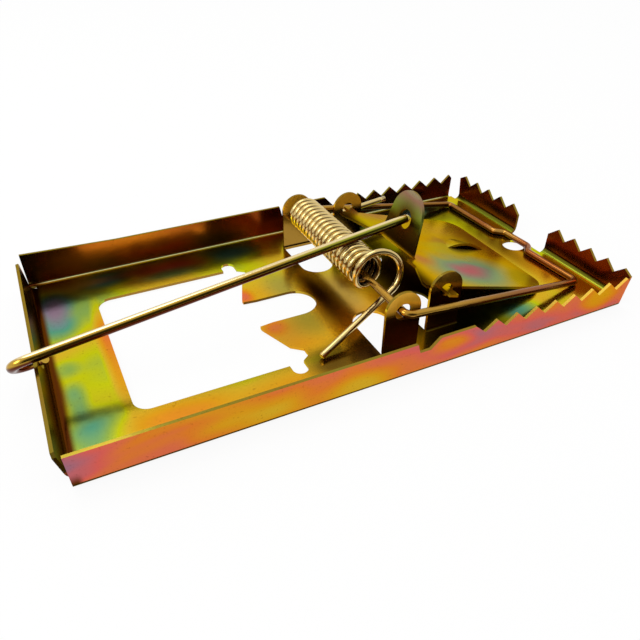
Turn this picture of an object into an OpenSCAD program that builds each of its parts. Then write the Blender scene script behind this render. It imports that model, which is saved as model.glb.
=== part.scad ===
// All-steel spring mouse trap, drawn in the sprung state: the striker lies on the floor
// of the tray, the trigger plate has dropped, and the setting rod rests on the spring.
// X runs from the plain end to the toothed end, Y from the near side to the far side, Z is up.
// Every size is in millimetres.

/* [Tray] */
// length of the tray along its floor
tray_l = 113.5; // [105:0.5:125]
// width of the tray across its floor
tray_w = 61.6; // [59:0.2:65]
// thickness of the sheet every stamped part is made of
sheet_t = 0.6; // [0.5:0.05:0.8]
// height of the plain side walls and of the tooth tips
wall_h = 7.4; // [6.8:0.1:9]
// depth of the teeth
tooth_d = 2.1; // [1.5:0.1:2.6]
// outward lean of the near side wall and of the far one, degrees
near_lean = 4; // [1:0.5:12]
far_lean = 1.5; // [1:0.5:12]
// outward lean of the plain end wall, degrees
end_lean = 9; // [6:0.5:12]
// inside radius of the bends at both ends, and of the sharper ones along the sides
bend_r = 1.3; // [1:0.1:1.6]
side_bend_r = 0.5; // [0.4:0.1:1]

/* [Striker] */
// diameter of the striker wire
striker_d = 1.5; // [1.3:0.05:1.6]
// distance from the striker's axle to its crossbar
striker_l = 48; // [45:0.5:48.5]
// height of the striker's axle above the ground
axle_z = 9.5; // [9.3:0.1:9.8]

/* [Spring] */
// diameter of the spring wire
spring_d = 1.2; // [1:0.05:1.25]
// mean radius of the coil
coil_r = 3.0; // [2.9:0.05:3.05]

/* [Trigger plate] */
// length of the trigger plate from its hinge to its free end
plate_l = 30.3; // [28:0.1:31]
// half of the plate's width at the hinge
plate_half = 18; // [17:0.1:18.1]
// diameter of the hole in the tall tab
tab_hole_d = 4.2; // [4.2:0.1:4.8]

/* [Setting rod] */
// diameter of the setting rod
rod_d = 1.8; // [1.6:0.05:1.8]
// mean radius of the loop at the rod's end
loop_r = 2.9; // [2.8:0.05:3]

/* [Hidden] */
// clearance left between parts that only rest on each other
rest_gap = 0.02;
// small overlap that joins one solid
weld = 0.02;

// height of the walls between the teeth
valley_h = wall_h - tooth_d;
// the plain end wall's outer face, the ends of the near and the far side wall beside it,
// and half of the end wall's length
end_x = -1.2;
near_start = -0.6;
far_start = -0.9;
plain_half = tray_w / 2 - 1.1;
// how much shorter that wall is at its bend
plain_cut = 1.2;
// the walls stand this much further from the openings on the far side than on the near one
wall_shift = 0.7;
// the far wall's top rises toward the plain end over that length, and its teeth stand lower
far_lift = 0.7;
far_lift_l = 20;
far_drop = 0.6;
// how far the toothed end wall's upper and lower corners stay inside the tray's width
end_inset = 1.6;
end_inset_low = 2.1;
// the toothed end wall stands all but upright
toothed_lean = 1;
// position along the tray of the striker's axle, and of the plate's hinge
axle_x = tray_l - 53.3;
hinge_x = axle_x + 11.8;
// height of the plate's hinge
hinge_z = 9.3;
// faces of the ears that look outward, measured from the middle of the tray
ear_y = 23.4;
hinge_ear_y = 20.3;
// half width and top height of the axle ears and of the hinge ears
ear_half = 3.75;
ear_top = 13.6;
hinge_ear_half = 3.7;
hinge_ear_top = 13.2;
// radius of the holes the wires and the lugs turn in
axle_hole_r = 1.72;
lug_hole_r = 1.4;
// inside radius of the bend at the foot of an ear
foot_r = 0.6;

// first tooth on a side wall, and the distance from tooth to tooth
tooth_x = tray_l - 36.8;
tooth_p = 4.83;
side_teeth = 8;
// first tooth on the end wall from the middle, and the distance between them
end_tooth_y = 7.9;
end_tooth_p = 4.85;
end_teeth = 5;
// half of the gap in the middle of the toothed end wall
end_gap = 5.4;
// how far the side walls stop short of the toothed end
side_stop = 2.2;

// the large opening in the floor, left where the trigger plate was stamped out
open_x0 = 11.4;
open_half = 18.6;
open_x1 = axle_x - 16.1;
open_corner = 2.8;
tongue_x = axle_x - 21.0;
tongue_half = 5.2;
slot_half = 4.5;
slot_end_x = axle_x - 11.2;
// where its edge turns in beside the tongue, and how wide it is there
neck_x = axle_x - 18.2;
neck_half = 13.2;
// the small round bump of the opening on both sides
bump_x = axle_x - 19.2;
bump_r = 1.5;
bump_out = 1.4;
// the round hole in the floor near the toothed end
floor_hole_x = tray_l - 5.4;
floor_hole_r = 2.6;

// where the rod crosses the plain end wall, from the middle of the tray
rod_y = -6.86;
// swing of the rod in plan, and its rise from the wall to the plate's tab, degrees
rod_yaw = 3.76;
rod_rise = 5.54;
// the loop's plane leans about the rod, degrees; the lower side of the loop lies further in
loop_tilt = 45;
// middle of the rod's loop, which carries the rod over the top of the wall
loop_x = -2.5;
loop_y = rod_y + loop_r * sin(loop_tilt);
loop_z = wall_h + rod_d / 2 + 0.07 - loop_r * cos(loop_tilt);
rod_len = hinge_x + 5.6;
// how far the loop is bent round, its cut end just through the wall, degrees
loop_turn = 230;
// taper at the rod's tip
tip_l = 0.6;
// play round the loop where it passes through the wall, and the tilt of that hole
rod_play = 0.75;
hole_tilt = 69.5;

// striker: the two wires that share the axle holes lie this far from the hinge line,
// the stub up and toward the plain end, the axle down and toward the toothed end
wire_off = 0.78;
wire_side = 42;
stub_end_y = -15.0;
// its arms at the ears and at the crossbar, from the middle of the tray
arm_near_y = -25.3;
arm_far_y = 25.0;
bar_near_y = -20.2;
bar_far_y = 24.9;
// how much further out the crossbar's near end stands than its far end, as it was bent
bar_skew = -1.8;
bar_z = sheet_t + striker_d / 2 + rest_gap;
// how far the middle of the crossbar steps outward, and where
step_out = 2.0;
step_y0 = -4.0;
step_y1 = 6.0;
wire_bend_r = 1.5;

// coil: its middle line beside the axle, where it begins and where its close turns end
coil_x = axle_x + 0.6;
coil_z = axle_z + 0.25;
coil_y0 = 21.0;
coil_y1 = -9.6;
coil_turns = 18;

// lean of the trigger plate, its free end resting on the floor, degrees
plate_lean = asin((hinge_z - sheet_t - rest_gap - sheet_t / 2 * cos(16)) / plate_l);
// the plate has slid toward the near side until it all but meets the ear
plate_slack = 0.3;
plate_y = -(hinge_ear_y - sheet_t - plate_half - plate_slack);
plate_end_half = 17.6;
plate_corner = 4.5;
lug_l = 3.3;
lug_w = 2.1;
wing_l = 4.2;
tab_root_half = 6.4;
tab_half = 5.3;
tab_up = 7.2;
tab_hole_up = 6.5;
tab_x = 0.4;

// the middle of the whole trap along its length, over the loop of the rod
x_mid = (tray_l + loop_x - loop_r - rod_d / 2) / 2;

// distance up a leaning wall at which the middle of its sheet is h above the ground
function rise(h, lean, r) =
    let (c = r + sheet_t)
    c + (h - c - (r + sheet_t / 2) * sin(lean)) / cos(lean);

// how far the outer top edge of a leaning side wall stands from the middle of the tray
function reach(lean) =
    let (c = side_bend_r + sheet_t)
    tray_w / 2 - c + c * cos(lean) + (rise(wall_h, lean, side_bend_r) - c) * sin(lean);

// the middle of the whole trap across its width
y_mid = wall_shift + (reach(far_lean) - reach(near_lean)) / 2;

// carries a part from the tray's own corner to the middle of the trap
module placed() {
    translate([-x_mid, -y_mid, 0]) children();
}

// a flat sheet lying in the plane of the floor
module flat(t = sheet_t) {
    linear_extrude(height = t) children();
}

// the bends run this far into the flat sheet at both ends, degrees, and are this much
// thinner on both sides, so that they join cleanly
bend_run = 4;
bend_skin = 0.01;

// bend between the floor and a wall that leans out, along X, for a wall on the -Y side
module bend(len, lean, r_in) {
    far = 3 * (r_in + sheet_t);
    up = lean - bend_run;
    rotate([90, 0, 90])
        linear_extrude(height = len)
            intersection() {
                difference() {
                    circle(r = r_in + sheet_t - bend_skin, $fn = 96);
                    circle(r = r_in + bend_skin, $fn = 96);
                }
                polygon([
                    [0, 0], [far * sin(bend_run), -far * cos(bend_run)],
                    [-far, -far], [-far * cos(up), -far * sin(up)]
                ]);
            }
}

// a wall that leans out by lean degrees, its profile given in [along, up] from the ground
module leaning_wall(lean, r_in) {
    c = r_in + sheet_t;
    translate([0, 0, c])
        rotate([lean, 0, 0])
            translate([0, -r_in, -c])
                rotate([90, 0, 0])
                    linear_extrude(height = sheet_t)
                        children();
}

// outline of a side wall: plain part, thumb notch, then the teeth
module side_outline(low, lean, start, lift, drop) {
    top = rise(wall_h, lean, side_bend_r);
    valley = rise(valley_h, lean, side_bend_r) - drop;
    tip = top - drop;
    x_end = tray_l - side_stop;
    notch = [for (p = [[-1.2, top], [-0.5, valley], [1.8, valley], [3.8, top]]) [axle_x + p[0], p[1]]];
    first = [[tooth_x - 5.0, top], [tooth_x - 2.5, valley]];
    teeth = [for (i = [0 : side_teeth - 2]) each [
        [tooth_x + i * tooth_p, tip],
        [tooth_x + (i + 0.5) * tooth_p, valley]
    ]];
    last = [
        [tooth_x + (side_teeth - 1) * tooth_p, tip],
        [x_end, tip - 0.9],
        [x_end - 0.3, low]
    ];
    plain = [[start + 0.2, low], [start, top + lift], [start + far_lift_l, top]];
    polygon(concat(plain, notch, first, teeth, last));
}

// outline of one half of the toothed end wall, measured from the middle outward
module end_outline(low) {
    top = rise(wall_h, toothed_lean, bend_r);
    valley = rise(valley_h, toothed_lean, bend_r);
    start = [[end_gap, low], [end_gap, valley]];
    teeth = [for (i = [0 : end_teeth - 2]) each [
        [end_tooth_y + i * end_tooth_p, top],
        [end_tooth_y + (i + 0.5) * end_tooth_p, valley]
    ]];
    last = [
        [end_tooth_y + (end_teeth - 1) * end_tooth_p, top],
        [tray_w / 2 - end_inset, top - 1.1],
        [tray_w / 2 - end_inset_low, low]
    ];
    polygon(concat(start, teeth, last));
}

// a side wall with its bend, drawn on the near side
module side_wall(lean, start, lift, drop) {
    r = side_bend_r;
    c = r + sheet_t;
    x_end = tray_l - side_stop - 0.3;
    translate([0, -tray_w / 2 + c, 0]) {
        translate([start + 0.2 + weld, 0, c]) bend(x_end - start - 0.2 - 2 * weld, lean, r);
        leaning_wall(lean, r) side_outline(c, lean, start, lift, drop);
    }
}

// the plain end wall with the rod's hole in it, leaning out past the floor's edge
module plain_wall() {
    r = bend_r;
    c = r + sheet_t;
    half = plain_half;
    low = plain_half - plain_cut;
    top = rise(wall_h, end_lean, bend_r);
    difference() {
        translate([end_x + c, wall_shift, 0])
            rotate([0, 0, -90]) {
                translate([-low + weld, 0, c]) bend(2 * low - 2 * weld, end_lean, r);
                leaning_wall(end_lean, r)
                    polygon([
                        [-low, c], [-half, top - 0.6], [-half + 0.6, top],
                        [half - 0.6, top], [half, top - 0.6], [low, c]
                    ]);
            }
        rod_hole();
    }
}

// carries a ring lying in the XZ plane to the place and the lean of the rod's loop
module at_loop() {
    translate([loop_x, loop_y, loop_z])
        rotate([0, 0, rod_yaw])
            rotate([loop_tilt, -rod_rise, 0])
                children();
}

// the hole the rod's loop passes through
module rod_hole() {
    at_loop()
        rotate([0, hole_tilt, 0])
            translate([loop_r, 0, -3])
                cylinder(h = 6, r = rod_d / 2 + rod_play, $fn = 64);
}

// one half of the toothed end wall with its bend
module end_wall_half() {
    r = bend_r;
    c = r + sheet_t;
    translate([tray_l - c, 0, 0])
        rotate([0, 0, 90]) {
            translate([end_gap + weld, 0, c])
                bend(tray_w / 2 - end_inset_low - end_gap - 2 * weld, toothed_lean, r);
            leaning_wall(toothed_lean, r) end_outline(c);
        }
}

// plan of the large opening: half of it, mirrored about the middle
module opening_half() {
    edge = [
        [open_x0, -weld], [open_x0, open_half - open_corner],
        [open_x0 + open_corner, open_half],
        [bump_x - bump_r, open_half], [bump_x - bump_r, open_half + bump_out],
        [bump_x + bump_r, open_half + bump_out], [bump_x + bump_r, open_half - 0.4],
        [open_x1, open_half - 1.6], [open_x1, open_half - 3.6],
        [neck_x, neck_half], [tongue_x, tongue_half + 0.4], [tongue_x, tongue_half - 0.4],
        [neck_x, slot_half], [slot_end_x, slot_half], [slot_end_x, -weld]
    ];
    polygon(edge);
    translate([open_x0 + open_corner, open_half - open_corner]) circle(r = open_corner, $fn = 64);
    translate([bump_x, open_half + bump_out]) circle(r = bump_r, $fn = 48);
    translate([slot_end_x, 0]) circle(r = slot_half, $fn = 64);
}

// plan of the windows the ears were raised from, on the near side
module windows_near() {
    ear_window(axle_x, -ear_y + sheet_t, ear_half, ear_top);
    ear_window(hinge_x, -hinge_ear_y + sheet_t, hinge_ear_half, hinge_ear_top);
}

// plan of one such window
module ear_window(x, y, half, top) {
    translate([x, y]) {
        translate([-half, 0]) square([2 * half, top - half + foot_r - sheet_t / 2]);
        translate([0, top - half + foot_r - sheet_t / 2]) circle(r = half, $fn = 64);
    }
}

// the floor of the tray with everything that was cut out of it
module floor_sheet() {
    c = bend_r + sheet_t;
    c_side = side_bend_r + sheet_t;
    difference() {
        flat()
            translate([end_x + c, wall_shift - tray_w / 2 + c_side])
                square([tray_l - end_x - 2 * c, tray_w - 2 * c_side]);
        translate([0, 0, -1]) flat(3) {
            opening_half();
            mirror([0, 1]) opening_half();
            windows_near();
            mirror([0, 1]) windows_near();
        }
        translate([floor_hole_x, 0, -1]) cylinder(h = 3, r = floor_hole_r, $fn = 64);
    }
}

// an ear raised out of the floor on the near side, with a round hole for a hinge
module ear(x, y_out, half, top, hole_z, hole_r) {
    c = foot_r + sheet_t;
    difference() {
        union() {
            translate([x - half, y_out - foot_r, c]) {
                rotate([90, 0, 90])
                    linear_extrude(height = 2 * half)
                        intersection() {
                            difference() {
                                circle(r = c, $fn = 64);
                                circle(r = foot_r, $fn = 64);
                            }
                            translate([0, -2 * c]) square([2 * c, 2 * c]);
                        }
            }
            translate([x, y_out + sheet_t, 0])
                rotate([90, 0, 0])
                    linear_extrude(height = sheet_t) {
                        translate([-half, c - weld]) square([2 * half, top - half - c + weld]);
                        translate([0, top - half]) circle(r = half, $fn = 96);
                    }
        }
        translate([x, y_out - 1, hole_z])
            rotate([-90, 0, 0]) cylinder(h = sheet_t + 2, r = hole_r, $fn = 64);
    }
}

// the four ears' near pair
module ears_near() {
    ear(axle_x, -ear_y, ear_half, ear_top, axle_z, axle_hole_r);
    ear(hinge_x, -hinge_ear_y, hinge_ear_half, hinge_ear_top, hinge_z, lug_hole_r);
}

// the whole tray: one stamped and bent sheet
module base() {
    color([0.80, 0.66, 0.30])
        placed() {
            floor_sheet();
            translate([0, wall_shift, 0]) {
                side_wall(near_lean, near_start, 0, 0);
                mirror([0, 1, 0]) side_wall(far_lean, far_start, far_lift, far_drop);
            }
            plain_wall();
            end_wall_half();
            mirror([0, 1, 0]) end_wall_half();
            ears_near();
            mirror([0, 1, 0]) ears_near();
        }
}

// helpers for bent wire
function unit(v) = v / norm(v);
function turn(a, b) = acos(max(-1, min(1, unit(a) * unit(b))));

// carries local X, Y, Z to the three unit directions ex, ey, ez, at point p
module carry(ex, ey, ez, p) {
    multmatrix([
        [ex[0], ey[0], ez[0], p[0]],
        [ex[1], ey[1], ez[1], p[1]],
        [ex[2], ey[2], ez[2], p[2]],
        [0, 0, 0, 1]
    ]) children();
}

// how much wider a straight length is than the bend it runs into, so that they join cleanly
sleeve = 0.02;

// straight round wire from a to b, reaching a little past its ends
module rod_between(a, b, d, past_a, past_b) {
    ez = unit(b - a);
    h = abs(ez[2]) < 0.9 ? [0, 0, 1] : [1, 0, 0];
    ex = unit(cross(h, ez));
    ey = cross(ez, ex);
    carry(ex, ey, ez, a - ez * past_a)
        cylinder(h = norm(b - a) + past_a + past_b, d = d, $fn = 32);
}

// round bend of mean radius rb at corner q, between the directions from p to q and q to s
module wire_bend(p, q, s, d, rb) {
    u = unit(q - p);
    v = unit(s - q);
    n = unit(cross(u, v));
    a = turn(u, v);
    start = q - u * (rb * tan(a / 2));
    inward = cross(n, u);
    middle = start + inward * rb;
    carry(-inward, u, n, middle)
        rotate_extrude(angle = a, $fn = 64)
            translate([rb, 0]) circle(d = d, $fn = 32);
}

// round wire through the points of a path, bent at every inner point
module bent_wire(path, d, rb) {
    n = len(path);
    cut = [for (i = [0 : n - 1]) i == 0 || i == n - 1 ? 0
        : rb * tan(turn(path[i] - path[i - 1], path[i + 1] - path[i]) / 2)];
    for (i = [0 : n - 2]) {
        dir = unit(path[i + 1] - path[i]);
        rod_between(path[i] + dir * cut[i], path[i + 1] - dir * cut[i + 1], d + sleeve,
            i == 0 ? 0 : 3 * weld, i == n - 2 ? 0 : 3 * weld);
    }
    for (i = [1 : n - 2]) wire_bend(path[i - 1], path[i], path[i + 1], d, rb);
}

// the striker: one wire, its near end a stub and its far end the axle
module striker() {
    stub_x = axle_x - wire_off * sin(wire_side);
    stub_z = axle_z + wire_off * cos(wire_side);
    low_x = axle_x + wire_off * sin(wire_side);
    low_z = axle_z - wire_off * cos(wire_side);
    bar_x = axle_x + striker_l + 0.4;
    far_x = bar_x + bar_skew;
    k = bar_skew / (bar_far_y - bar_near_y);
    x0 = bar_x + k * (step_y0 - bar_near_y);
    x1 = bar_x + k * (step_y1 - bar_near_y);
    color([0.72, 0.52, 0.27])
        placed()
            bent_wire([
                [stub_x, stub_end_y, stub_z],
                [stub_x, arm_near_y, stub_z],
                [bar_x, bar_near_y, bar_z],
                [x0, step_y0 - 1, bar_z],
                [x0 + step_out, step_y0 + 1, bar_z],
                [x1 + step_out, step_y1 - 1, bar_z],
                [x1, step_y1 + 1, bar_z],
                [far_x, bar_far_y, bar_z],
                [low_x, arm_far_y, low_z],
                [low_x, -ear_y - 0.7, low_z]
            ], striker_d, wire_bend_r);
}

// the trigger plate lying flat, hinge line on Y, sheet centred on the XY plane
module plate_flat() {
    half = plate_half;
    difference() {
        union() {
            translate([0, 0, -sheet_t / 2]) flat() {
                polygon([
                    [0, half], [plate_l - plate_corner, plate_end_half],
                    [plate_l - plate_corner, -plate_end_half], [0, -half]
                ]);
                translate([plate_l - plate_corner, -plate_end_half + plate_corner])
                    square([plate_corner, 2 * (plate_end_half - plate_corner)]);
                for (m = [-1, 1])
                    translate([plate_l - plate_corner, m * (plate_end_half - plate_corner)])
                        circle(r = plate_corner, $fn = 96);
                for (m = [-1, 1])
                    polygon([
                        [tab_x, m * half], [tab_x, m * tab_root_half],
                        [-wing_l, m * (half - 1.6)], [-wing_l, m * (half - 0.4)],
                        [-wing_l + 0.8, m * half]
                    ]);
                translate([-lug_w / 2, -half - lug_l]) square([lug_w, 2 * (half + lug_l)]);
            }
            bait_louvre();
        }
        bait_cut();
        translate([0, 0, -sheet_t / 2 - 1])
            flat(3)
                translate([-lug_w, -tab_root_half])
                    square([lug_w + tab_x + foot_r + sheet_t / 2 - weld, 2 * tab_root_half]);
    }
    tall_tab();
}

// the bait louvre: a lens of sheet pressed up, open on its near side
louvre_s = 21.0;
louvre_y = 0.6;
louvre_r = 11.9;
louvre_up = 1.35;
louvre_lean = 14;
// half length of the louvre, how far its round runs on under the sheet, and its cutter's reach
louvre_half = 8;
louvre_wide = 8;
louvre_h = 4;
// how far the hollow opens in front of the louvre
louvre_lip = 0.35;

// the louvre's outside
module bait_louvre() {
    intersection() {
        translate([louvre_s, louvre_y, sheet_t / 2 + louvre_up])
            rotate([-90 - louvre_lean, 0, 0])
                translate([0, louvre_r, -2])
                    cylinder(h = 12, r = louvre_r, $fn = 128);
        translate([louvre_s - louvre_half, louvre_y, -sheet_t / 2])
            cube([2 * louvre_half, louvre_wide, louvre_h]);
    }
}

// the hollow under the louvre
module bait_cut() {
    intersection() {
        translate([louvre_s, louvre_y, sheet_t / 2 + louvre_up])
            rotate([-90 - louvre_lean, 0, 0])
                translate([0, louvre_r, -2])
                    cylinder(h = 12, r = louvre_r - sheet_t * 0.9, $fn = 128);
        translate([louvre_s - louvre_half, louvre_y - louvre_lip, -sheet_t / 2 - 1])
            cube([2 * louvre_half, louvre_wide + 1, louvre_h + 1]);
    }
}

// the tall tab with the hole the rod's tip enters
module tall_tab() {
    c = foot_r + sheet_t / 2;
    translate([tab_x + c, 0, 0]) {
        intersection() {
            translate([0, tab_root_half, c])
                rotate([90, 0, 0])
                    linear_extrude(height = 2 * tab_root_half)
                        difference() {
                            circle(r = c + sheet_t / 2, $fn = 64);
                            circle(r = c - sheet_t / 2, $fn = 64);
                        }
            translate([-2 * c, -tab_root_half, -c]) cube([2 * c, 2 * tab_root_half, 2 * c]);
        }
    }
    translate([tab_x - sheet_t / 2, 0, 0])
        rotate([90, 0, 90])
            difference() {
                linear_extrude(height = sheet_t) {
                    polygon([
                        [-tab_root_half, c - weld], [tab_root_half, c - weld],
                        [tab_half * cos(8), tab_up + tab_half * sin(8)],
                        [-tab_half * cos(8), tab_up + tab_half * sin(8)]
                    ]);
                    translate([0, tab_up]) circle(r = tab_half, $fn = 96);
                }
                translate([0, tab_hole_up, -1])
                    cylinder(h = sheet_t + 2, d = tab_hole_d, $fn = 64);
            }
}

// the trigger plate as it lies, its free end on the floor
module trigger_plate() {
    color([0.85, 0.72, 0.30])
        placed()
            translate([hinge_x, plate_y, hinge_z])
                rotate([0, plate_lean, 0])
                    plate_flat();
}

// the setting rod: straight, its end bent round into a loop over the plain end wall
module setting_rod() {
    color([0.78, 0.60, 0.28])
        placed()
            at_loop() {
                translate([0, 0, loop_r])
                    rotate([0, 90, 0]) {
                        cylinder(h = rod_len - tip_l, d = rod_d, $fn = 48);
                        translate([0, 0, rod_len - tip_l])
                            cylinder(h = tip_l, d1 = rod_d, d2 = rod_d - tip_l, $fn = 48);
                    }
                rotate([90, 90, 0])
                    rotate([0, 0, 180])
                        rotate_extrude(angle = loop_turn, $fn = 96)
                            translate([loop_r, 0]) circle(d = rod_d, $fn = 48);
            }
}

// the coil's middle line: close turns, and at the near end one wide turn round the axle
near_leave = -54;
far_leave = -89;
wide_x = axle_x + 0.1;
wide_z = axle_z + 2.2;
wide_r = 5.3;
wide_turn = 4.3;
turns = coil_turns + 1 + (far_leave - near_leave) / 360;
rings_a_turn = 12;
tube_sides = 8;
rings = floor(turns * rings_a_turn);

// share of the wide turn at q turns from the near end: 1 on it, 0 in the close coil
function wide(q) =
    let (k = max(0, min(1, (q - 0.55) / 0.5)))
    1 - k * k * (3 - 2 * k);

// place along the near-to-far coil after q turns
function coil_at(q) =
    let (
        a = near_leave + 360 * q,
        w = wide(q),
        r = coil_r + (wide_r - coil_r) * w,
        y = coil_y1 - wide_turn * (1 - min(q, 1)) + (coil_y0 - coil_y1) * max(q - 1, 0) / (turns - 1)
    )
    [coil_x + (wide_x - coil_x) * w + r * cos(a), y, coil_z + (wide_z - coil_z) * w + r * sin(a)];

// the two straight legs: the near one rests on the floor, the far one on the striker's arm
coil_near_end = coil_at(0);
near_leg_l = 14.5;
near_foot_y = -19.4;
near_foot = [axle_x - near_leg_l, near_foot_y, sheet_t + spring_d / 2 + 0.05];
coil_far_end = coil_at(turns);
far_leg_l = 25;
far_leg_y = 24.45;
far_leg_drop = 2.25;
far_end = [axle_x + far_leg_l, far_leg_y, axle_z - far_leg_drop];
leg_steps = 6;

spring_path = concat(
    [for (i = [0 : leg_steps - 1]) near_foot + (coil_near_end - near_foot) * i / leg_steps],
    [for (i = [0 : rings]) coil_at(turns * i / rings)],
    [for (i = [1 : leg_steps]) coil_far_end + (far_end - coil_far_end) * i / leg_steps]
);

// least gap between the wire and itself, measured between points more than half a turn apart
apart = floor(rings_a_turn * 0.6);
spring_gap = min([for (i = [0 : len(spring_path) - 1 - apart])
    for (j = [i + apart : len(spring_path) - 1]) norm(spring_path[i] - spring_path[j])])
    - spring_d;

// closed round tube along a path that never runs along Y
module tube(path, d, sides) {
    n = len(path);
    rows = [for (i = [0 : n - 1])
        let (
            t = unit(path[min(i + 1, n - 1)] - path[max(i - 1, 0)]),
            e1 = unit(cross(t, [0, 1, 0])),
            e2 = cross(t, e1)
        )
        for (k = [0 : sides - 1])
            path[i] + (e1 * cos(360 * k / sides) + e2 * sin(360 * k / sides)) * d / 2];
    walls = [for (i = [0 : n - 2], k = [0 : sides - 1]) [
        i * sides + k, i * sides + (k + 1) % sides,
        (i + 1) * sides + (k + 1) % sides, (i + 1) * sides + k
    ]];
    first = [for (k = [sides - 1 : -1 : 0]) k];
    last = [for (k = [0 : sides - 1]) (n - 1) * sides + k];
    polyhedron(points = rows, faces = concat(walls, [first, last]), convexity = 10);
}

// the torsion spring, one unbroken wire
module spring() {
    echo(spring_gap = spring_gap, spring_points = len(spring_path));
    color([0.86, 0.76, 0.48])
        placed()
            tube(spring_path, spring_d, tube_sides);
}

base();
striker();
spring();
trigger_plate();
setting_rod();
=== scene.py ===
# %% [markdown]
# The object is an all-steel mouse trap, plated in yellow zinc chromate and shown sprung.
# Its tray and bait plate are stamped sheet, and its striker, spring and setting rod are
# bent wire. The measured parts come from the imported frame, so this script only adds what
# a drawing leaves out: the plating, the light and a finely drawn spring.
# %% Load the measured parts
import math

import bpy
from mathutils import Matrix, Vector


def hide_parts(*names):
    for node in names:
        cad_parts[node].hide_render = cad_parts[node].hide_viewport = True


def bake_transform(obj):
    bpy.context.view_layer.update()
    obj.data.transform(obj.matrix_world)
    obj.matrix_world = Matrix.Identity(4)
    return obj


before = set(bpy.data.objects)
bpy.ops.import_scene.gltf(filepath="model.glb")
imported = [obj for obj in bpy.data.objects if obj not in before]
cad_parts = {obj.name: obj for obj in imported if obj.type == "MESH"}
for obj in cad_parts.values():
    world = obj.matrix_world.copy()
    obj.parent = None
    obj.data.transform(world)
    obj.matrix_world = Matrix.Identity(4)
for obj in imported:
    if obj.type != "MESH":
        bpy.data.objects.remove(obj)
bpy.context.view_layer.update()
MM = 0.001
print("parts:", sorted(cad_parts))

# %% [markdown]
# The camera comes first, because every colour is judged from where the photograph was
# taken. Its height, turn and focal length were solved from the straight edges of the tray:
# it stands near the plain end, looks down by about 36 degrees, and is very close, which
# is why the near corner looks so large. An aim point and a track constraint could turn it
# too, but three directions written out also hold the small roll.
# %% Camera at the photograph's angle
TURN, DOWN, ROLL = (math.radians(degrees) for degrees in (26.79, 35.57, 0.76))
CAMERA_PLACE = Vector((-48.4, -99.115, 73.2)) * MM
FOCAL_PIXELS, PICTURE_PIXELS = 613.9, 640
SENSOR_WIDTH = 36
NEAREST, FARTHEST = 0.005, 10

ahead = Vector((math.sin(TURN) * math.cos(DOWN), math.cos(TURN) * math.cos(DOWN), -math.sin(DOWN)))
level = Vector((math.cos(TURN), -math.sin(TURN), 0))
upward = level.cross(ahead)
right = math.cos(ROLL) * level + math.sin(ROLL) * upward
top = math.cos(ROLL) * upward - math.sin(ROLL) * level

camera = bpy.data.objects.new("camera", bpy.data.cameras.new("camera"))
bpy.context.scene.collection.objects.link(camera)
directions = Matrix((right, top, -ahead)).transposed().to_4x4()
camera.matrix_world = Matrix.Translation(CAMERA_PLACE) @ directions
camera.data.sensor_width = SENSOR_WIDTH
camera.data.lens = FOCAL_PIXELS / PICTURE_PIXELS * SENSOR_WIDTH
camera.data.clip_start, camera.data.clip_end = NEAREST, FARTHEST
bpy.context.scene.camera = camera
print("lens", round(camera.data.lens, 2), "mm")

# %% [markdown]
# Shader nodes are added by one small helper. It takes the kind of node, what goes into its
# sockets (a value, another node, or one output of a node), and any settings of the node.
# Where it is given a whole node, it links the first output that is in use. Colours are
# written as sRGB hex values, as they are read off a picture, and turned to the linear
# values that Blender works in.
# %% Helpers for shaders and colours
def feed(tree, socket, value):
    if isinstance(value, bpy.types.Node):
        value = next(out for out in value.outputs if out.enabled)
    if isinstance(value, bpy.types.NodeSocket):
        tree.links.new(value, socket)
    else:
        socket.default_value = value


def add(tree, kind, into=None, **settings):
    node = tree.nodes.new("ShaderNode" + kind)
    for name, value in settings.items():
        setattr(node, name, value)
    for socket, value in (into or {}).items():
        feed(tree, node.inputs[socket], value)
    return node


def from_hex(code):
    parts = [int(code[i:i + 2], 16) / 255 for i in (1, 3, 5)]
    return tuple(p / 12.92 if p <= 0.04045 else ((p + 0.055) / 1.055) ** 2.4 for p in parts) + (1,)


print("mid grey #808080 is", round(from_hex("#808080")[0], 3), "in linear light")

# %% [markdown]
# Yellow zinc chromate is a bath finish on zinc-plated steel. It leaves a film about as
# thick as a wavelength of light, so its colour comes from interference: where the film is
# a little thicker or thinner, straw yellow turns to orange, pink, violet, teal, green and
# back to yellow. Blender has a thin film on its shader, but its colours can't be placed.
# So one number stands for the film's thickness here, and one colour ramp turns any
# thickness into the colour that such a film has.
# %% The colours of the film, from thin to thick
FILM_COLOURS = [
    (0.00, "#DDB62C"), (0.14, "#E3A01E"), (0.28, "#E8812C"), (0.40, "#E2645A"),
    (0.50, "#A96E80"), (0.60, "#6C8E9C"), (0.70, "#559F80"), (0.80, "#8FB04E"),
    (0.90, "#C7CA14"), (1.00, "#DDB62C"),
]


def set_stops(ramp, colours):
    stops = ramp.color_ramp.elements
    while len(stops) < len(colours):
        stops.new(0.5)
    for stop, (place, code) in zip(stops, colours):
        stop.position, stop.color = place, from_hex(code)


def film_colour(tree, thickness):
    share = add(tree, "Math", {0: thickness}, operation="FRACT")
    ramp = add(tree, "ValToRGB", {"Fac": share})
    set_stops(ramp, FILM_COLOURS)
    return ramp


print("the film runs through", len(FILM_COLOURS) - 1, "colours")

# %% [markdown]
# The film drifts in broad clouds, tens of millimetres wide, where the parts touched or
# drained in the bath. Clouds are a noise texture whose scale is worked out from a size in
# millimetres. They swing about a level, and they can be stretched along the rolled or
# drawn direction.
# %% Clouds
NOISE_LOW, NOISE_HIGH = 0.25, 0.75


def place_mm(tree):
    coords = add(tree, "TexCoord").outputs["Object"]
    return add(tree, "VectorMath", {"Vector": coords, "Scale": 1 / MM}, operation="SCALE")


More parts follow.
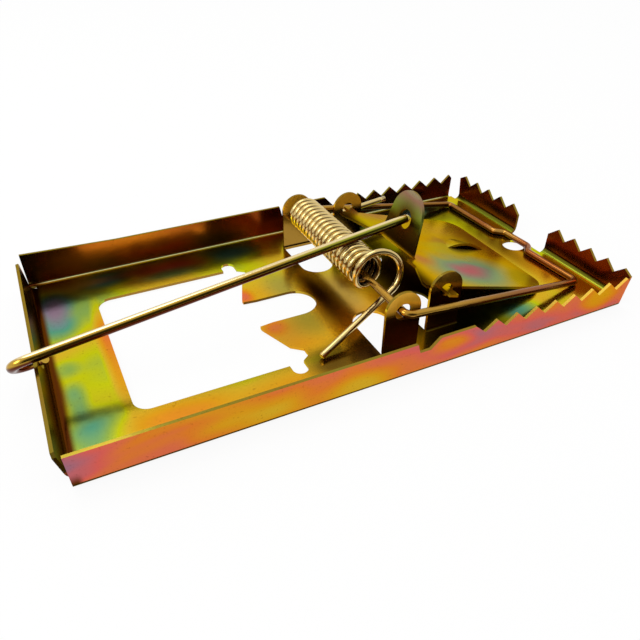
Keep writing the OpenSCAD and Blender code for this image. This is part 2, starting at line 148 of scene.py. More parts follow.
def clouds(tree, place, width_mm, height, level=0.0, stretch=(1, 1, 1), detail=2.0, twist=0.4):
    sizes = tuple(1 / (along * width_mm) for along in stretch)
    pulled = add(tree, "VectorMath", {0: place, 1: sizes}, operation="MULTIPLY")
    noise = add(tree, "TexNoise", {"Vector": pulled, "Scale": 1.0, "Detail": detail, "Distortion": twist})
    return add(tree, "MapRange", {"Value": noise, "From Min": NOISE_LOW, "From Max": NOISE_HIGH,
                                  "To Min": level - height, "To Max": level + height})


print("noise between", NOISE_LOW, "and", NOISE_HIGH, "becomes the clouds' swing")

# %% [markdown]
# The film also blooms where liquid stood in a corner or ran off an edge. A painted mask
# would need an image, so each bloom is a soft ellipsoid with a centre and a reach in
# millimetres. It thickens or thins the film, or it tints a place with a colour of its own.
# Several tints or faces over each other are laid on as a painter's layers are: one row of
# layers says how much of each point is covered, how strongly, and with which colour.
# %% Blooms, layers and patches
SPOT_EDGE, SPOT_CORE = 1.0, 0.15
COLOUR_A, COLOUR_B = 6, 7  # the Mix node's two colour sockets, which share their names with others


def soft_spot(tree, place, centre, reach):
    away = add(tree, "VectorMath", {0: place, 1: centre}, operation="SUBTRACT")
    away = add(tree, "VectorMath", {0: away, 1: reach}, operation="DIVIDE")
    away = add(tree, "VectorMath", {0: away}, operation="LENGTH")
    return add(tree, "MapRange", {"Value": away, "From Min": SPOT_EDGE, "From Max": SPOT_CORE},
               interpolation_type="SMOOTHSTEP")


def blooms(tree, place, thickness, spots):
    for centre, reach, amount in spots:
        share = soft_spot(tree, place, centre, reach)
        thickness = add(tree, "Math", {0: share, 1: amount, 2: thickness}, operation="MULTIPLY_ADD")
    return thickness


def layered(tree, colour, layers):
    for share, strength, above in layers:
        under, over = (from_hex(c) if isinstance(c, str) else c for c in (colour, above))
        share = add(tree, "Math", {0: share, 1: strength}, operation="MULTIPLY")
        colour = add(tree, "Mix", {0: share, COLOUR_A: under, COLOUR_B: over}, data_type="RGBA")
    return colour


def patches(tree, place, colour, spots):
    return layered(tree, colour, [(soft_spot(tree, place, centre, reach), strength, code)
                                  for centre, reach, code, strength in spots])


print("a spot is full within", SPOT_CORE, "of its reach and gone at", SPOT_EDGE)

# %% [markdown]
# Every piece is bright zinc under its film, so it is metallic, and its IOR stays at the
# default. Bright plating has a roughness of about 0.2, from which each piece was matched.
# Rolled sheet keeps a slight waviness from the rolls and blurs what it mirrors; drawn wire
# is smoother, with faint lines along its length. Seen at a glance along its face, the film
# keeps some of its colour, where bare metal would turn white: that is the Specular Tint.
# Small dark specks, about 0.4 mm wide, are pits and dust that the bath left. Real pits are
# finer still, and are drawn as coarse as it takes to show them.
# %% Metal under the film
SHEET_WAVE_MM, SHEET_WAVE_DEPTH = 1.4, 0.006
DULL_MM, DULL_SWING = 9, 0.05
BUMP_STRENGTH = 0.3
SPECK_MM, SPECK_FROM, SPECK_TO, SPECK_DARKNESS = 0.4, 0.6, 1.0, 0.3


def plated(name, roughness, wave_mm=SHEET_WAVE_MM, wave_depth=SHEET_WAVE_DEPTH, stretch=(1, 1, 1),
           glance="#FFFFFF"):
    material = bpy.data.materials.new(name)
    material.use_nodes = True
    tree = material.node_tree
    tree.nodes.clear()
    place = place_mm(tree)
    dull = clouds(tree, place, DULL_MM, DULL_SWING, level=roughness, stretch=stretch)
    wave = clouds(tree, place, wave_mm, 1.0, stretch=stretch, detail=1.0, twist=0.0)
    bump = add(tree, "Bump", {"Height": wave, "Strength": BUMP_STRENGTH, "Distance": wave_depth * MM})
    shader = add(tree, "BsdfPrincipled", {"Metallic": 1.0, "Roughness": dull, "Normal": bump,
                                          "Specular Tint": from_hex(glance)})
    add(tree, "OutputMaterial", {"Surface": shader})
    return material, tree, place, shader


def finish_with(tree, place, shader, colour):
    pits = clouds(tree, place, SPECK_MM, 1.0, detail=1.0)
    specks = add(tree, "MapRange", {"Value": pits, "From Min": SPECK_FROM, "From Max": SPECK_TO,
                                    "To Max": SPECK_DARKNESS})
    speckled = add(tree, "Mix", {0: specks, COLOUR_A: colour, COLOUR_B: from_hex("#7A5A30")},
                   data_type="RGBA", blend_type="MULTIPLY")
    feed(tree, shader.inputs["Base Color"], speckled)


print("specks are", SPECK_MM, "mm wide, waves in the sheet", SHEET_WAVE_MM, "mm")

# %% [markdown]
# Some faces are coloured apart from the open sheet, most of them with painted shade and
# some with a painted highlight. They could be split into material slots, but the measured
# meshes stay untouched, so faces are told apart by where they lie and where they face. A
# table of soft steps comes first: each rises from 0 to 1 between two places in millimetres,
# or between two slants of the face's normal. "side" and "end_way" are positive on faces that
# look away from the tray's middle.
# %% Soft steps by place and slant
SOFT_STEPS = {
    "side_inside": ("side", -20.0, -26.5), "end_inside": ("end_way", -28.0, -50.0),
    "raised": ("z", 1.8, 2.4), "slanted_up": ("nz", 0.3, 0.55), "under": ("nz", -0.02, -0.22),
    "low": ("z", 3.0, 2.0), "not_steep": ("nz", 0.15, 0.35), "not_flat": ("nz", 0.985, 0.9),
    "toe": ("x", 54.0, 56.0), "high": ("z", 8.6, 10.4), "sole": ("z", 0.8, 0.45),
    "far": ("y", 23.5, 27.5), "far_half": ("y", 5.0, 10.0), "end": ("x", -50.0, -53.0),
    "heel_end": ("x", -52.0, -53.2), "heel_low": ("z", 3.5, 1.0),
}


def soft_steps(tree, place):
    x, y, z = add(tree, "SeparateXYZ", {0: place}).outputs
    normal = add(tree, "TexCoord").outputs["Normal"]
    nx, ny, nz = add(tree, "SeparateXYZ", {0: normal}).outputs
    side = add(tree, "Math", {0: ny, 1: y}, operation="MULTIPLY")
    end_way = add(tree, "Math", {0: nx, 1: x}, operation="MULTIPLY")
    found = {"x": x, "y": y, "z": z, "ny": ny, "nz": nz, "side": side, "end_way": end_way}
    for name, (value, low, high) in SOFT_STEPS.items():
        found[name] = add(tree, "MapRange", {"Value": found[value], "From Min": low, "From Max": high},
                          interpolation_type="SMOOTHSTEP")
    return found


print(len(SOFT_STEPS), "soft steps, such as", ", ".join(list(SOFT_STEPS)[:3]))

# %% [markdown]
# The masks are made of these steps. "outer" and "inner" are the two sides of the walls,
# "ear" the upright ears in the floor, "crown" their tops, "golden" the ears' tops that carry
# a painted highlight, "edge" the cut and toothed edges, "fold" the bend between floor and
# walls, "heel" the foot of the plain end wall, and "dark" all that looks down and the outer
# walls' lowest band. Most of them mark where shade is painted. They are written as a table
# too: one row makes one mask out of two earlier ones, or of one and a number.
# %% Masks for the tray's faces
MASKS = [
    ("side_outside", "GREATER_THAN", "side", 25.0), ("end_outside", "GREATER_THAN", "end_way", 45.0),
    ("outer", "MAXIMUM", "side_outside", "end_outside"), ("inner", "MAXIMUM", "side_inside", "end_inside"),
    ("sideways", "ABSOLUTE", "ny"), ("upright", "GREATER_THAN", "sideways", 0.9),
    ("off_middle", "ABSOLUTE", "y"), ("in_floor", "LESS_THAN", "off_middle", 26.0),
    ("ear", "MULTIPLY", "upright", "in_floor"), ("edge", "MULTIPLY", "slanted_up", "raised"),
    ("bend", "MULTIPLY", "not_steep", "not_flat"), ("fold", "MULTIPLY", "low", "bend"),
    ("bright", "MAXIMUM", "far_half", "before_hinge"), ("crown", "MULTIPLY", "high", "bright"),
    ("golden", "MULTIPLY", "ear", "crown"), ("heel", "MULTIPLY", "heel_end", "heel_low"),
    ("wall_sole", "MULTIPLY", "outer", "sole"), ("dark", "MAXIMUM", "under", "wall_sole"),
]
# The ears' painted highlight is full on the far ears and before the hinge, and a quarter as strong on the near
# ears beyond it.
HINGE_EAR_FROM, HINGE_EAR_TO, HINGE_EAR_SHINE = 12.0, 14.0, 0.25


def face_masks(tree, place):
    mask = soft_steps(tree, place)
    mask["before_hinge"] = add(tree, "MapRange", {
        "Value": mask["x"], "From Min": HINGE_EAR_FROM, "From Max": HINGE_EAR_TO,
        "To Min": 1.0, "To Max": HINGE_EAR_SHINE})
    for name, operation, *between in MASKS:
        sockets = {i: mask.get(part, part) for i, part in enumerate(between)}
        mask[name] = add(tree, "Math", sockets, operation=operation)
    return mask


print(len(MASKS), "masks")

# %% [markdown]
# The tray's film is thin and yellow-green over the open floor, teal and violet in the
# corners by the plain end, where the bath stood longest, and orange to pink along the
# opening's edge and outside the walls. These two tables hold one bloom in a row: its
# centre and its reach in millimetres, and by how much it thickens or thins the film.
# %% Where the tray's film blooms
FLOOR_BLOOMS = [
    ((-47, 17, 1), (17, 13, 4), -0.24), ((-51, 20, 1), (6, 7, 4), -0.20), ((-51, 10, 1), (6, 8, 4), -0.20),
    ((-50, -21, 1), (9, 9, 4), -0.22), ((-50.7, -12, 1), (3, 7, 4), -0.16), ((-51.5, -2.5, 1), (4, 4, 4), -0.14),
    ((-42.6, 0, 1), (2.6, 24, 3), 0.34), ((-36, -23, 1), (18, 7, 3), 0.34), ((-14, -25, 1), (16, 7, 3), 0.2),
    ((-38, 26, 1), (10, 5, 3), -0.35), ((-24, 25, 1), (12, 4, 3), 0.4), ((-10, 26, 1), (12, 6, 3), -0.2),
    ((2, -2, 1), (26, 26, 4), 0.13), ((-13.5, 6, 1), (3, 5, 3), 0.3), ((-12, -7, 1), (4, 4, 3), 0.3),
    ((-9, -15, 1), (8, 5, 3), 0.12), ((37, -23, 1), (7, 5, 3), -0.3), ((52, -10, 1), (5, 20, 3), 0.2),
    ((36, 25, 1), (20, 5, 3), -0.3),
]
WALL_BLOOMS = [
    ((-54, -31, 4), (9, 8, 8), 0.10), ((-26, -31, 3), (14, 8, 5), -0.2), ((-6, -31, 2), (10, 8, 4), -0.24),
    ((34, -31, 4), (30, 8, 8), 0.10), ((50, -31, 5), (7, 8, 5), -0.26), ((13, -31, 5), (7, 8, 3), -0.2),
]
print(len(FLOOR_BLOOMS), "blooms on the floor,", len(WALL_BLOOMS), "on the walls")

# %% [markdown]
# Some places of the floor have a colour that the film's own order doesn't give: the gold
# and olive tongue in the middle, the red and green strip along the far wall, and the purple
# corner. Others are painted shade and painted reflection: dark beside the coil, under the
# bait plate and by the spring's leg, and red-brown in the bend of the plain wall. There the
# real sheet mirrors the dark parts above it and lies in their shade, more than this light
# tent shows, so that shade is coloured in here. Toward the toothed end the floor is a darker
# olive. One row holds a centre, a reach, a colour and its strength.
# %% Patches of other colour and painted shade on the floor
FLOOR_TINTS_AND_SHADE = [
    ((6.5, -1, 1), (5, 15, 3), "#BFA050", 0.8), ((-4.5, 7, 1), (6, 9, 3), "#98984A", 0.7),
    ((-5, -4, 1), (6, 7, 3), "#A0983C", 0.6), ((-11, -9, 1), (8, 8, 3), "#C8782A", 0.6),
    ((-4, -8, 1), (8, 8, 3), "#968A30", 0.75), ((1.6, 1, 1), (4.4, 18, 3), "#2E1A06", 1.0),
    ((1, -22, 1), (12, 9, 3), "#4A2E10", 1.0), ((-7, -22, 1), (7, 6, 3), "#5E4216", 0.9),
    ((51, 3, 1), (5, 24, 3), "#5E4C16", 0.8), ((47, 21, 1), (12, 7, 3), "#5E5018", 0.8),
    ((22, 0, 1), (13, 60, 3), "#120A04", 1.0), ((24, -25, 1), (20, 8, 3), "#241208", 0.9),
    ((-53.3, -9, 1), (2, 12, 3), "#7A3A0A", 0.9), ((-31, 26, 1), (9, 3, 3), "#B0603A", 0.8),
    ((-25, 22.5, 1), (10, 3, 3), "#6AA860", 0.8), ((-44, 26, 1), (8, 3, 3), "#C8B848", 0.8),
    ((-50.5, 17.5, 1), (4.5, 8, 3), "#9A7890", 0.85),
]
# Painted reflection: an amber glow on the inside of the far wall.
WALL_PAINTED_REFLECTION = [((-33, 31, 4.5), (28, 9, 5.5), "#E87A1C", 1.0)]
print(len(FLOOR_TINTS_AND_SHADE), "patches")

# %% [markdown]
# Now the tray's finish is put together. The film's colour comes first, on floor and walls
# apart. Over it lies painted light and shade: the insides of the walls in a deep maroon
# brown of painted shade, with an amber glow that is a painted reflection, the bends in
# painted shade with a pale painted highlight along the far one, the ears in painted shade
# from brown to gold, the foot of the plain end wall in painted red-brown shade, the cut
# edges in an olive of painted shade, and painted shade on the undersides and along the
# walls' lower edge. The ears' tops carry a painted highlight, bright gold on a less
# metallic face.
# %% Yellow chromate on the tray
TRAY_ROUGHNESS, FLOOR_LEVEL, WALL_LEVEL = 0.2, 0.95, 1.3
FLOOR_CLOUDS, WALL_CLOUDS, EAR_CLOUDS = (26, 0.16), (11, 0.15), (5, 0.5)  # width in mm, swing
WALL_STRETCH = (2.2, 1, 0.8)
HIGHLIGHT_METAL_DROP = -0.7

tray_finish, tree, place, shader = plated("yellow_zinc_chromate_sheet", TRAY_ROUGHNESS, glance="#EAD8B4")
mask = face_masks(tree, place)
floor_film = blooms(tree, place, clouds(tree, place, *FLOOR_CLOUDS, level=FLOOR_LEVEL), FLOOR_BLOOMS)
wall_drift = clouds(tree, place, *WALL_CLOUDS, level=WALL_LEVEL, stretch=WALL_STRETCH)
wall_film = blooms(tree, place, wall_drift, WALL_BLOOMS)
film = add(tree, "Mix", {"Factor": mask["outer"], "A": floor_film, "B": wall_film}, data_type="FLOAT")
open_film = film_colour(tree, film)

on_floor = patches(tree, place, open_film, FLOOR_TINTS_AND_SHADE)
# Painted shade: the insides of the walls in deep maroon, olive brown at the plain end, with the painted amber
# reflection laid over it.
inner_wall_shade = layered(tree, "#861A10", [(mask["end"], 1.0, "#5A4A18")])
inner_wall_shade = patches(tree, place, inner_wall_shade, WALL_PAINTED_REFLECTION)
# Painted shade in the bend between floor and walls, with a pale painted highlight along the far wall, olive at
# the toothed end and red-brown at the plain end.
fold_shade_and_highlight = layered(tree, "#2E1C08", [
    (mask["far"], 1.0, "#C8C890"), (mask["toe"], 1.0, "#5E6A1C"), (mask["end"], 1.0, "#5A2A0C")])
# Painted shade on the ears, brown and olive, lighter on the far ears, with a painted highlight in bright gold on
# their tops.
ear_shade_and_highlight = layered(tree, "#6E4A14", [
    (clouds(tree, place, *EAR_CLOUDS), 1.0, "#5E5A16"), (mask["far_half"], 1.0, "#A07A30"),
    (mask["crown"], 1.0, "#F4B430")])
# The foot of the plain end wall, the cut edges and all that looks down get painted shade.
colour = layered(tree, on_floor, [
    (mask["outer"], 1.0, open_film), (mask["heel"], 1.0, "#5A2A0C"), (mask["inner"], 0.9, inner_wall_shade),
    (mask["fold"], 0.85, fold_shade_and_highlight), (mask["ear"], 1.0, ear_shade_and_highlight), (mask["edge"], 0.85, "#80682A"),
    (mask["dark"], 1.0, "#1C0C04")])
# Where the ears carry the painted highlight they are less metallic, so that the gold shows.
metal = add(tree, "Math", {0: mask["golden"], 1: HIGHLIGHT_METAL_DROP, 2: 1.0}, operation="MULTIPLY_ADD")
feed(tree, shader.inputs["Metallic"], metal)
finish_with(tree, place, shader, colour)
print("the tray's finish has", len(tree.nodes), "nodes")

# %% [markdown]
# The bait plate was stamped from the same sheet, but hung by its tab in the bath, so its
# film runs across it in bands: yellow at the hinge, teal and then pink in the middle, and
# the tall tab goes from brown at its foot to green and pink at its tip. Round the catch
# hole, where the rod's tip sits, a dark ring of painted shade is laid on. The bands are
# patches again. A ramp over the plate's length would be shorter to write, but it couldn't
# hold the islands of pink and teal.
# %% Where the bait plate is coloured
PLATE_PATCHES = [
    ((38, 10, 4), (14, 9, 8), "#DEB050", 0.9), ((31, -12, 5.5), (17, 11, 9), "#5CB0A0", 1.0),
    ((34, 0, 5), (11, 6, 8), "#C2BC58", 0.65), ((31, -12, 5.5), (8, 5, 7), "#CC7088", 1.0),
    ((46, 3, 1), (9, 13, 6), "#B07A30", 0.85), ((22, -7, 8), (4, 5, 6), "#D08060", 0.8),
    ((44, -16, 2), (8, 5, 6), "#B4A034", 0.85), ((23, 18, 8), (13, 10, 9), "#C08A66", 0.95),
    ((34, 3, 5), (5, 3, 6), "#B88058", 0.6),
]
# Painted shade: a dark ring round the catch hole, where the rod's tip sits.
HOLE_PAINTED_SHADE = [((20.6, -2, 15.4), (6, 5.5, 5.5), "#4A2410", 0.95)]
TAB_TONES = [
    (0.0, "#3E2A10"), (0.42, "#4A3A12"), (0.60, "#75802A"), (0.75, "#7F8440"), (0.92, "#96705A"),
    (1.0, "#9A8A6A"),
]
TAB_FOOT, TAB_TIP, TAB_BACK = 9.6, 21.4, 24.5
TAB_FROM, TAB_FULL = 9.4, 10.6
print(len(PLATE_PATCHES), "patches on the plate,", len(TAB_TONES), "tones up the tab")

# %% [markdown]
# The plate is finished like the tray. Its patches lie on a place that drifts a little, so
# that their edges wander as liquid does. The tab is told apart from the wings by its height
# and by where it stands, and a second colour ramp runs up it.
# %% Yellow chromate on the bait plate
PLATE_ROUGHNESS, PLATE_LEVEL = 0.3, 0.98
PLATE_CLOUDS, PLATE_DRIFT, TAB_WAVES = (15, 0.08), (12, 2.5), (6, 0.8)  # width in mm, swing

plate_finish, tree, place, shader = plated("yellow_zinc_chromate_plate", PLATE_ROUGHNESS, glance="#D2C090")
film = clouds(tree, place, *PLATE_CLOUDS, level=PLATE_LEVEL)
drifting = add(tree, "VectorMath", {0: place, 1: clouds(tree, place, *PLATE_DRIFT)}, operation="ADD")
on_plate = patches(tree, drifting, film_colour(tree, film), PLATE_PATCHES)

x, _, z = add(tree, "SeparateXYZ", {0: place}).outputs
wavy_height = add(tree, "Math", {0: z, 1: clouds(tree, place, *TAB_WAVES)}, operation="ADD")
up_the_tab = add(tree, "MapRange", {"Value": wavy_height, "From Min": TAB_FOOT, "From Max": TAB_TIP})
tones = add(tree, "ValToRGB", {"Fac": up_the_tab})
set_stops(tones, TAB_TONES)
above_plate = add(tree, "MapRange", {"Value": z, "From Min": TAB_FROM, "From Max": TAB_FULL},
                  interpolation_type="SMOOTHSTEP")
at_tab = add(tree, "Math", {0: x, 1: TAB_BACK}, operation="LESS_THAN")
on_tab = add(tree, "Math", {0: above_plate, 1: at_tab}, operation="MULTIPLY")
colour = layered(tree, on_plate, [(on_tab, 1.0, tones)])
finish_with(tree, place, shader, patches(tree, place, colour, HOLE_PAINTED_SHADE))
print("the plate's finish has", len(tree.nodes), "nodes")

# %% [markdown]
# Wire is plated in the same bath, but its film is thinner and browner, and it was drawn
# through a die, so its grain runs along it. A tone that changes along the wire covers most
# of the film's colour. "painted_light_bands" are painted shade and painted highlights in
# bands by the normal's slant, such as a brown underside or a pale line on top, where a round
# wire mirrors the dark table edge and the bright tent. "bore" is painted shade on the inside
# of a coil, by an attribute of the mesh.
# %% One finish for the wires
WIRE_WAVE_MM, WIRE_WAVE_DEPTH, WIRE_GRAIN, WIRE_CLOUD_MM = 0.5, 0.003, (5, 1, 1), 10
TONE_FROM, TONE_TO = 12.0, 34.0


def plated_wire(name, roughness, level, drift, tones, cover, spots=(), tints=(), painted_light_bands=(), bore=False):
    material, tree, place, shader = plated(name, roughness, WIRE_WAVE_MM, WIRE_WAVE_DEPTH, WIRE_GRAIN)
    film = blooms(tree, place, clouds(tree, place, WIRE_CLOUD_MM, drift, level=level), spots)
    x = add(tree, "SeparateXYZ", {0: place}).outputs["X"]
    along = add(tree, "MapRange", {"Value": x, "From Min": TONE_FROM, "From Max": TONE_TO},
                interpolation_type="SMOOTHSTEP")
    tone = layered(tree, tones[0], [(along, 1.0, tones[1])])
    colour = layered(tree, film_colour(tree, film), [(cover, 1.0, tone)])
    colour = patches(tree, place, colour, tints)
    nz = add(tree, "SeparateXYZ", {0: add(tree, "TexCoord").outputs["Normal"]}).outputs["Z"]
    for code, low, high in painted_light_bands:
        facing = add(tree, "MapRange", {"Value": nz, "From Min": low, "From Max": high},
                     interpolation_type="SMOOTHSTEP")
        colour = layered(tree, colour, [(facing, 1.0, code)])
    if bore:
        inside = add(tree, "Attribute", attribute_name="bore").outputs["Fac"]
        colour = layered(tree, colour, [(inside, 1.0, "#1E1006")])
    finish_with(tree, place, shader, colour)
    return material


print("a wire's grain is", WIRE_GRAIN[0], "times as long as it is wide")

# %% [markdown]
# Striker, rod and spring each get their own tone: the striker turns from gold to pinkish
# brown toward its crossbar, with a painted gold highlight on the crossbar's step and painted
# shade underneath, the rod is gold with green by the tab, a pale painted highlight on top and
# painted shade underneath, and the spring, which was plated on its own, is pale and shiny.
# %% Yellow chromate on striker, rod and spring
# The striker's gold tint on the crossbar's step is a painted highlight, and its brown underside is painted
# shade.
striker_finish = plated_wire(
    "yellow_chromate_striker_wire", 0.2, level=1.08, drift=0.06, tones=("#A8803A", "#6E3A2C"), cover=0.75,
    spots=[((55, 0, 2), (14, 30, 6), 0.16), ((40, -22, 4), (10, 6, 6), 0.14)],
    tints=[((55, 4, 2), (8, 7, 5), "#B89040", 0.7), ((40, -26, 4), (20, 5, 6), "#90604C", 0.6)],
    painted_light_bands=[("#5E3424", 0.35, -0.3)])
# The rod's pale top is a painted highlight and its red-brown underside is painted shade.
rod_finish = plated_wire(
    "yellow_chromate_rod_wire", 0.18, level=1.02, drift=0.03, tones=("#B08A44", "#8A8038"), cover=0.6,
    spots=[((14, -2, 15), (12, 5, 5), -0.2)], tints=[((4, -3, 14), (20, 8, 8), "#98A030", 0.8)],
    painted_light_bands=[("#F4DCA4", 0.84, 0.97), ("#5A2814", 0.35, -0.1)])
spring_finish = plated_wire(
    "clear_yellow_spring_wire", 0.17, level=1.02, drift=0.03, tones=("#DCC48A", "#DCC48A"), cover=0.8,
    bore=True)

for node, material in (("base", tray_finish), ("trigger_plate", plate_finish),
                       ("striker", striker_finish), ("setting_rod", rod_finish)):
    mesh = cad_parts[node].data
    mesh.materials.clear()
    mesh.materials.append(material)
    print(node, "is finished in", material.name)

# %% [markdown]
# The spring is one hard-drawn wire, wound on a mandrel. At the near end it opens into one
# wide turn round the axle and runs down to the floor; at the far end it leaves the coil
# straight and presses on the striker's arm. The drawing holds it with few faces, so it is
# drawn again here. A screw modifier would give an even coil only, so the route is counted
# out point by point, in millimetres, from the same formula as the drawing. The wire is a
# little thicker here and the wide turn smaller, as a close look at the photograph gave.
# %% The spring's route
WIRE, TURNS = 1.32, 18
HINGE = Vector((6.6, -0.565, 9.5))
NEAR_ANGLE, FAR_ANGLE = -54, -89
Y_FIRST, Y_LAST, WIDE_RUN = -8.4, 20.435, 4.77
CLOSE_MIDDLE, CLOSE_RADIUS = (0.85, 0.35), 3.2
WIDE_MIDDLE, WIDE_RADIUS = (2.05, 1.1), 4.45
WIDE_UNTIL, NARROWING = 0.5, 0.35
NEAR_FOOT, FAR_TIP = HINGE + Vector((-14.5, -19.4, -8.15)), HINGE + Vector((25, 24.45, -2.15))
STEPS_A_TURN, FOOT_STEPS, LEG_STEPS = 40, 10, 16
turns_in_all = TURNS + 1 + (FAR_ANGLE - NEAR_ANGLE) / 360


def coil_point(turn):
    narrowed = max(0.0, min(1.0, (turn - WIDE_UNTIL) / NARROWING))
    wide = 1 - narrowed * narrowed * (3 - 2 * narrowed)
    radius = CLOSE_RADIUS + (WIDE_RADIUS - CLOSE_RADIUS) * wide
    x, z = (close + (far_out - close) * wide for close, far_out in zip(CLOSE_MIDDLE, WIDE_MIDDLE))
    angle = math.radians(NEAR_ANGLE + 360 * turn)
    along_coil = (Y_LAST - Y_FIRST) * max(turn - 1, 0) / (turns_in_all - 1)
    y = Y_FIRST - WIDE_RUN * (1 - min(turn, 1)) + along_coil
    return Vector((HINGE.x + x + radius * math.cos(angle), y, HINGE.z + z + radius * math.sin(angle)))


coil_steps = round(turns_in_all * STEPS_A_TURN)
coil = [coil_point(turns_in_all * i / coil_steps) for i in range(coil_steps + 1)]
route = [NEAR_FOOT.lerp(coil[0], i / FOOT_STEPS) for i in range(FOOT_STEPS)] + coil
route += [coil[-1].lerp(FAR_TIP, i / LEG_STEPS) for i in range(1, LEG_STEPS + 1)]
print("spring wire", round(sum((b - a).length for a, b in zip(route, route[1:]))), "mm long")

# %% [markdown]
# A tube is laid along the route by carrying one ring of points from step to step without
# twisting it. A bevelled curve would do the same, but a mesh keeps the ends in hand: each
# is closed by two smaller rings and a cap. At the floor they stand out, as a sheared wire's
# end does. On the striker's side they start two steps before the tip, so that end is a
# hollow about 3 mm deep, which is a fault that is still to be mended.
# %% Rings along the wire
SIDES = 20
END_RINGS = ((0.12, 0.93), (0.2, 0.78))  # how far out and how wide, in wire radii


def rings_along(points, radius):
    last = len(points) - 1
    ways = [(points[min(i + 1, last)] - points[max(i - 1, 0)]).normalized() for i in range(len(points))]
    across = ways[0].orthogonal().normalized()
    rings = []
    for i, (point, way) in enumerate(zip(points, ways)):
        if i:
            across = ways[i - 1].rotation_difference(way) @ across
        across = (across - way * across.dot(way)).normalized()
        rings.append((point, way, across, radius))
    for end, sign in ((0, -1), (last, 1)):
        point, way, across, _ = rings[end]  # the first caps have moved the rings on by two
        caps = [(point + way * sign * radius * out, way, across, radius * size) for out, size in END_RINGS]
        rings = caps[::-1] + rings if sign < 0 else rings + caps
    return rings


print("each ring has", SIDES, "points")

# %% [markdown]
# Faces then join each ring to the next one, point by point, and a many-sided face closes
# each end. The wire is shaded smooth, so that 20 points a ring look round.
# %% The spring's wire
def wire_mesh(name, points, diameter):
    rings = rings_along([point * MM for point in points], diameter / 2 * MM)
    vertices, faces = [], []
    for point, way, across, size in rings:
        other = way.cross(across)
        vertices += [point + (across * math.cos(turn) + other * math.sin(turn)) * size
                     for turn in (2 * math.pi * k / SIDES for k in range(SIDES))]
    for first in range(0, (len(rings) - 1) * SIDES, SIDES):
        for k in range(SIDES):
            n = (k + 1) % SIDES
            faces.append((first + k, first + n, first + SIDES + n, first + SIDES + k))
    faces += [tuple(range(SIDES))[::-1], tuple((len(rings) - 1) * SIDES + k for k in range(SIDES))]
    mesh = bpy.data.meshes.new(name)
    mesh.from_pydata(vertices, [], faces)
    mesh.update()
    mesh.shade_smooth()
    piece = bpy.data.objects.new(name, mesh)
    bpy.context.scene.collection.objects.link(piece)
    return piece


spring_wire = wire_mesh("spring_wire", route, WIRE)
spring_wire.data.materials.append(spring_finish)
print("spring drawn with", len(spring_wire.data.polygons), "faces")

# %% [markdown]
# Inside the close coil it is dark, because little light gets in past the turns and the
# axle. A shiny wire would still mirror the tent there, so every point that faces the coil's
# axis is marked in the mesh, and the finish darkens what is marked. The mark stays with the
# wire when the coil turns. The spring then takes the place of the drawn one.
# %% The coil's inside, and the spring in place of the drawn one
BORE_FADE = 0.5

bore = spring_wire.data.attributes.new("bore", "FLOAT", "POINT")
for vertex, inside in zip(spring_wire.data.vertices, bore.data):
    off_axis = math.hypot(vertex.co.x / MM - HINGE.x - CLOSE_MIDDLE[0],
                          vertex.co.z / MM - HINGE.z - CLOSE_MIDDLE[1])
    inside.value = max(0.0, min(1.0, (CLOSE_RADIUS - off_axis) / BORE_FADE))
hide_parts("spring")
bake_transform(spring_wire)
print("the bore has", sum(point.value > 0 for point in bore.data), "dark points")

# %% [markdown]
# The trap lies on a plain white table. To the camera and in the metal's reflections the
# table is white, and it keeps a faint shadow of the trap. Metal shows mostly what stands
# round it, and a real sheet of paper ends somewhere, so on the near side the table gives
# the metal no light, which keeps the near faces deep in colour.
# %% Table
PAPER_ENDS, PAPER_FULL = -0.13, -0.055
WHITE_SHARE = 0.93
TABLE_SIZE, TABLE_DROP = 6, 0.0002
WHITE = "#FFFFFF"

bpy.ops.mesh.primitive_plane_add(size=TABLE_SIZE, location=(0, 0, -TABLE_DROP))
table = bpy.context.object
table.name = "table"
paper = bpy.data.materials.new("white_paper_table")
paper.use_nodes = True
tree = paper.node_tree
tree.nodes.clear()
rays = add(tree, "LightPath").outputs
mirrored = add(tree, "Math", {0: rays["Is Glossy Ray"], 1: rays["Is Transmission Ray"]}, operation="MAXIMUM")
seen = add(tree, "Math", {0: rays["Is Camera Ray"], 1: mirrored}, operation="MAXIMUM")
spot = add(tree, "SeparateXYZ", {0: add(tree, "NewGeometry").outputs["Position"]}).outputs
on_paper = add(tree, "MapRange", {"Value": spot["Y"], "From Min": PAPER_ENDS, "From Max": PAPER_FULL},
               interpolation_type="SMOOTHSTEP")
lit = add(tree, "Math", {0: on_paper, 1: rays["Is Camera Ray"]}, operation="MAXIMUM")
matt = add(tree, "BsdfDiffuse", {"Color": from_hex("#F4F4F2")})
bright = add(tree, "Emission", {"Color": from_hex(WHITE), "Strength": lit})
share = add(tree, "Math", {0: seen, 1: WHITE_SHARE}, operation="MULTIPLY")
mixed = add(tree, "MixShader", {0: share, 1: matt, 2: bright})
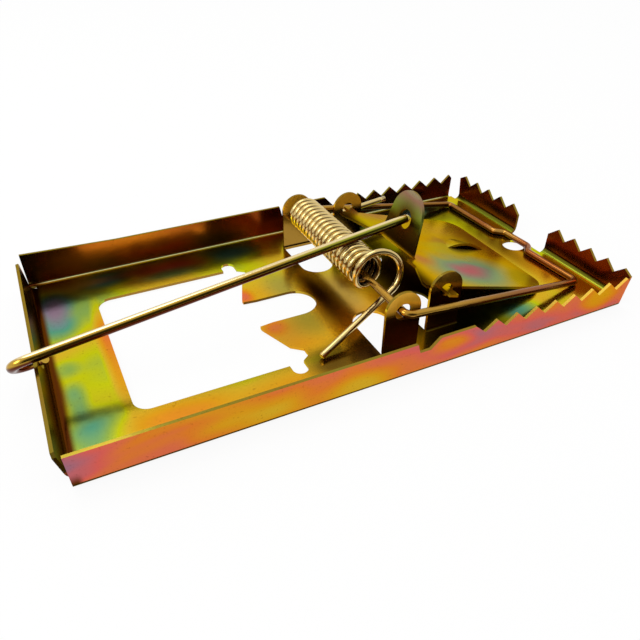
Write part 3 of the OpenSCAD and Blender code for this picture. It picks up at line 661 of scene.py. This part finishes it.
add(tree, "OutputMaterial", {"Surface": mixed})
table.data.materials.append(paper)
print("table laid in", paper.name)

# %% [markdown]
# The room is white to the camera. To the metal it is a light tent: bright behind and above,
# and dark on the side that the tent opens to. One even white would wash the colours out.
# An image of a studio could do this too, but a direction and a soft step are enough.
# %% Room
TENT_OPENING = (0.10, -0.98, 0.12)
OPENING_FROM, OPENING_FULL = 0.45, 0.88
TENT_CLOTH, TENT_DARK = "#F6F6F6", "#302E2C"

world = bpy.data.worlds.new("light_tent")
bpy.context.scene.world = world
world.use_nodes = True
tree = world.node_tree
tree.nodes.clear()
way = add(tree, "TexCoord").outputs["Generated"]
toward = add(tree, "VectorMath", {0: way, 1: TENT_OPENING}, operation="DOT_PRODUCT")
opening = add(tree, "MapRange", {"Value": toward, "From Min": OPENING_FROM, "From Max": OPENING_FULL},
              interpolation_type="SMOOTHSTEP")
to_camera = add(tree, "LightPath").outputs["Is Camera Ray"]
room = layered(tree, TENT_CLOTH, [(opening, 1.0, TENT_DARK), (to_camera, 1.0, WHITE)])
back = add(tree, "Background", {"Color": room, "Strength": 1.0})
add(tree, "OutputWorld", {"Surface": back})
print("world", world.name)

# %% [markdown]
# Two square softboxes stand above and to the left. They give the sheet its broad
# highlights and the shadow its direction, at a plain level, so that a colour renders about
# as it is written. A small hard lamp would draw sharp white dots on every wire.
# %% Lamps
def soft_lamp(name, place, size, watts):
    lamp = bpy.data.objects.new(name, bpy.data.lights.new(name, "AREA"))
    bpy.context.scene.collection.objects.link(lamp)
    lamp.location = place
    lamp.rotation_euler = (-Vector(place)).to_track_quat("-Z", "Y").to_euler()
    lamp.data.size, lamp.data.energy = size, watts
    print(name, "gives", watts, "W")


soft_lamp("softbox_above", (-0.10, 0.20, 0.55), 0.30, 0.8)
soft_lamp("softbox_left", (-0.50, -0.05, 0.30), 0.22, 0.8)

# %% [markdown]
# The picture is shown as it is calculated, without a film look, so that a colour written
# above comes out as it is written.
# %% Finish
bpy.context.scene.view_settings.view_transform = "Standard"
